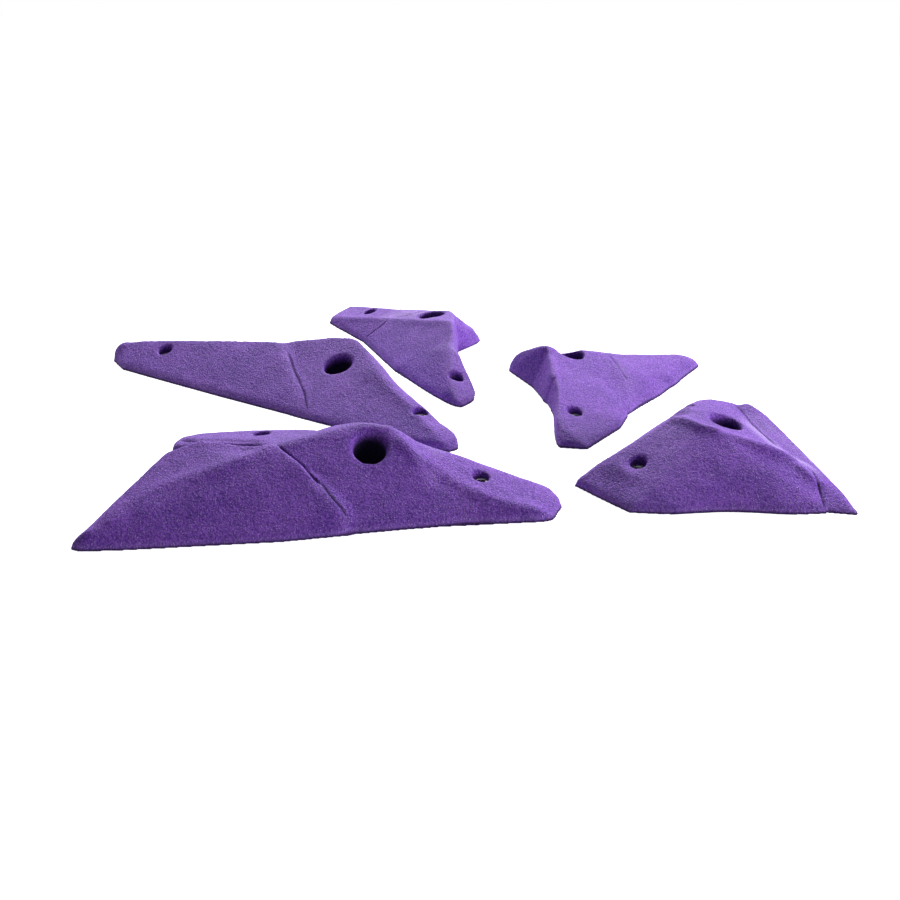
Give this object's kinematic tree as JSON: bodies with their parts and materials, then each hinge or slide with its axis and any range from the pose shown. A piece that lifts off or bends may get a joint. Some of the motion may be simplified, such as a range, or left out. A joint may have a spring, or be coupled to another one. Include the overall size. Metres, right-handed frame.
{
  "type": "crimp climbing hold set",
  "caption": "Set of low cast-resin crimp climbing holds, faceted like split rock, with flat backs, counterbored bolt holes and small screw holes, each seated on cast-in steel washers.",
  "frame": {"origin": "middle of the whole set's outline, in the plane of the holds' flat backs", "axes": "+Z out from the backs, away from the wall; +Y towards the far holds; +X to the right with the long front hold nearest"},
  "size_m": [0.5316, 0.4734, 0.0434],
  "materials": {
    "cast_resin": "matte, sandy grain",
    "zinc_plated_steel": "zinc plated"
  },
  "bodies": {
    "root": {"front_left_hold": "cast_resin", "rear_left_hold": "cast_resin", "rear_center_hold": "cast_resin", "rear_right_hold": "cast_resin", "front_right_hold": "cast_resin", "front_left_bolt_washer": "zinc_plated_steel", "rear_left_bolt_washer": "zinc_plated_steel", "rear_center_bolt_washer": "zinc_plated_steel", "rear_right_bolt_washer": "zinc_plated_steel", "front_right_bolt_washer": "zinc_plated_steel", "front_left_left_screw_washer": "zinc_plated_steel", "front_left_right_screw_washer": "zinc_plated_steel", "rear_left_left_screw_washer": "zinc_plated_steel", "rear_left_right_screw_washer": "zinc_plated_steel", "rear_center_left_screw_washer": "zinc_plated_steel", "rear_center_right_screw_washer": "zinc_plated_steel", "rear_right_low_screw_washer": "zinc_plated_steel", "front_right_left_screw_washer": "zinc_plated_steel"}
  },
  "joints": []
}
